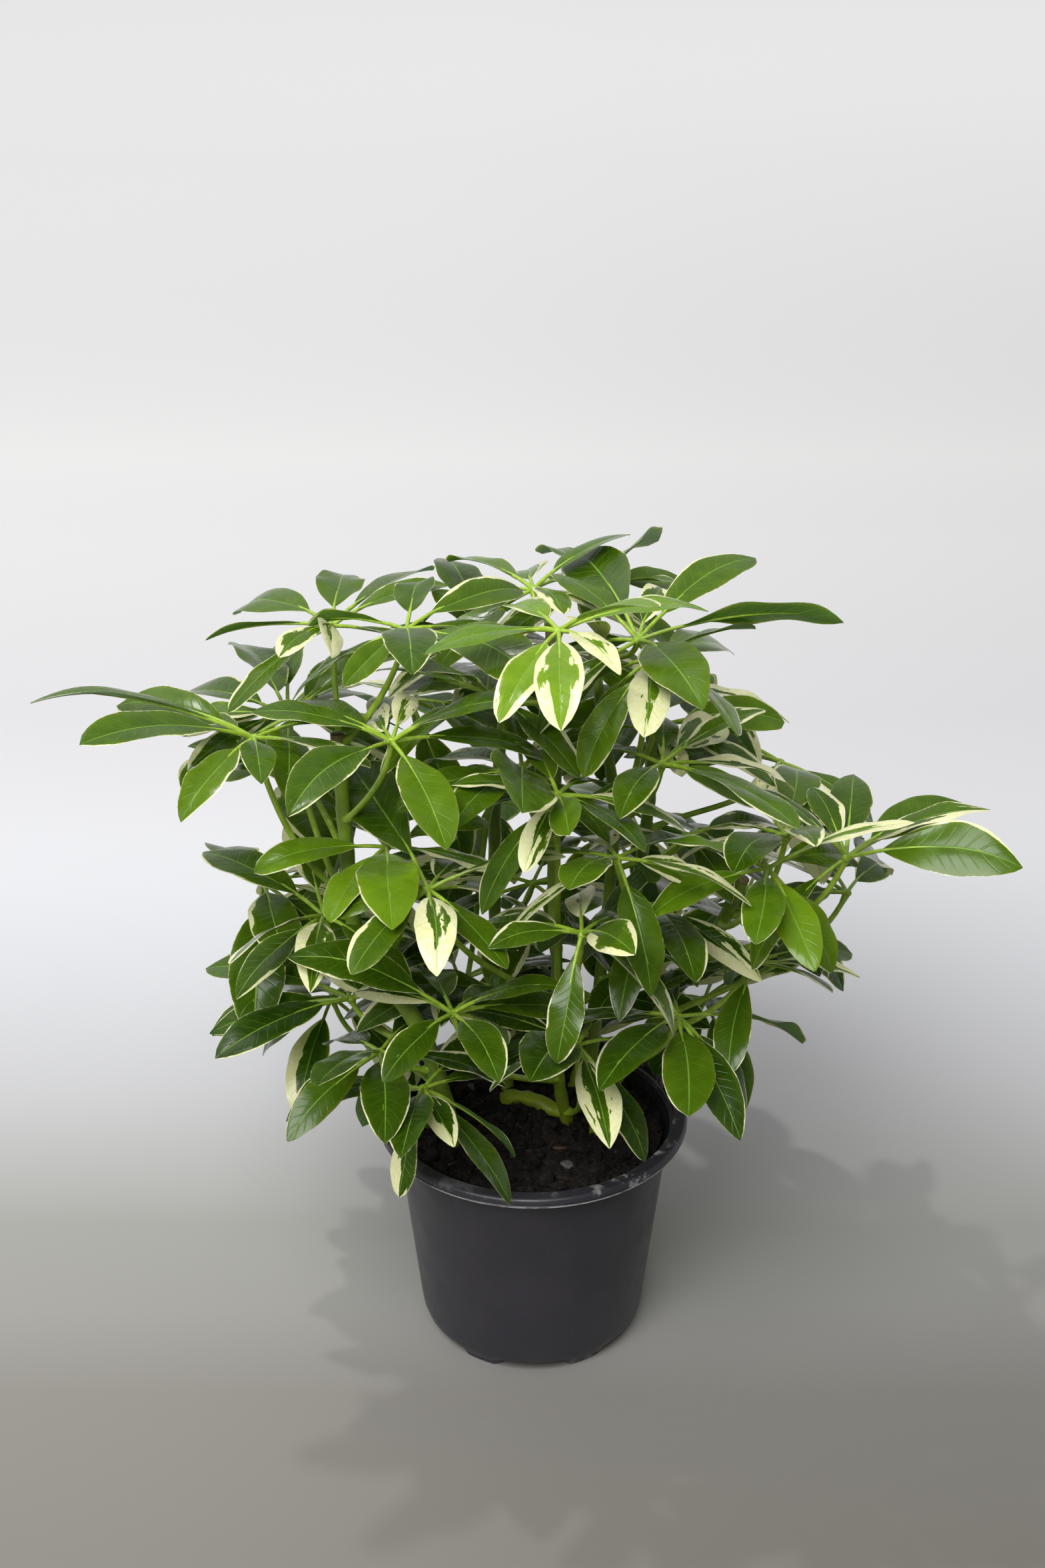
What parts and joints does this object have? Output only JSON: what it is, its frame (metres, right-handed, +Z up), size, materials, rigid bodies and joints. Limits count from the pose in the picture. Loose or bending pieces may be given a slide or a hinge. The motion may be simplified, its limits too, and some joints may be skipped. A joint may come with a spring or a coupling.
{
  "type": "potted umbrella plant",
  "caption": "Variegated dwarf umbrella plant: whorls of glossy green leaflets with cream edges on green stems, in a round black plastic nursery pot of peat soil.",
  "frame": {"origin": "centre of the pot's flat base, on the ground the plant stands on", "axes": "+Z up along the pot's axis; -Y towards the front, the side with the clearest view of the soil; +X to the right as seen from the front"},
  "size_m": [0.4173, 0.3422, 0.4111],
  "materials": {
    "pot_plastic": "satin charcoal black, injection moulded",
    "soil": "loose dark peat",
    "stem": "smooth green bark",
    "leaf": "glossy, green with cream edges"
  },
  "bodies": {
    "root": {"pot": "pot_plastic", "soil": "soil", "stem_left": "stem", "stem_middle": "stem", "stem_right": "stem", "stem_centre": "stem", "stem_back": "stem", "stem_back_right": "stem", "shoot_left": "stem", "leaf_01": "leaf", "leaf_02": "leaf", "leaf_03": "leaf", "leaf_04": "leaf", "leaf_05": "leaf", "leaf_06": "leaf", "leaf_07": "leaf", "leaf_08": "leaf", "leaf_09": "leaf", "leaf_10": "leaf", "leaf_11": "leaf", "leaf_12": "leaf", "leaf_13": "leaf", "leaf_14": "leaf", "leaf_15": "leaf", "leaf_16": "leaf", "leaf_17": "leaf", "leaf_18": "leaf", "leaf_19": "leaf", "leaf_20": "leaf", "leaf_21": "leaf", "leaf_22": "leaf", "leaf_23": "leaf", "leaf_24": "leaf", "leaf_25": "leaf", "leaf_26": "leaf", "leaf_27": "leaf", "leaf_28": "leaf", "leaf_29": "leaf", "leaf_30": "leaf", "leaf_31": "leaf", "leaf_32": "leaf", "leaf_33": "leaf", "leaf_34": "leaf", "leaf_35": "leaf", "leaf_36": "leaf", "leaf_37": "leaf", "leaf_38": "leaf", "leaf_39": "leaf", "leaf_40": "leaf", "leaf_41": "leaf", "leaf_42": "leaf", "leaf_43": "leaf", "leaf_44": "leaf", "leaf_45": "leaf", "leaf_46": "leaf", "leaf_47": "leaf", "leaf_48": "leaf", "leaf_49": "leaf", "leaf_50": "leaf", "leaf_51": "leaf"}
  },
  "joints": []
}
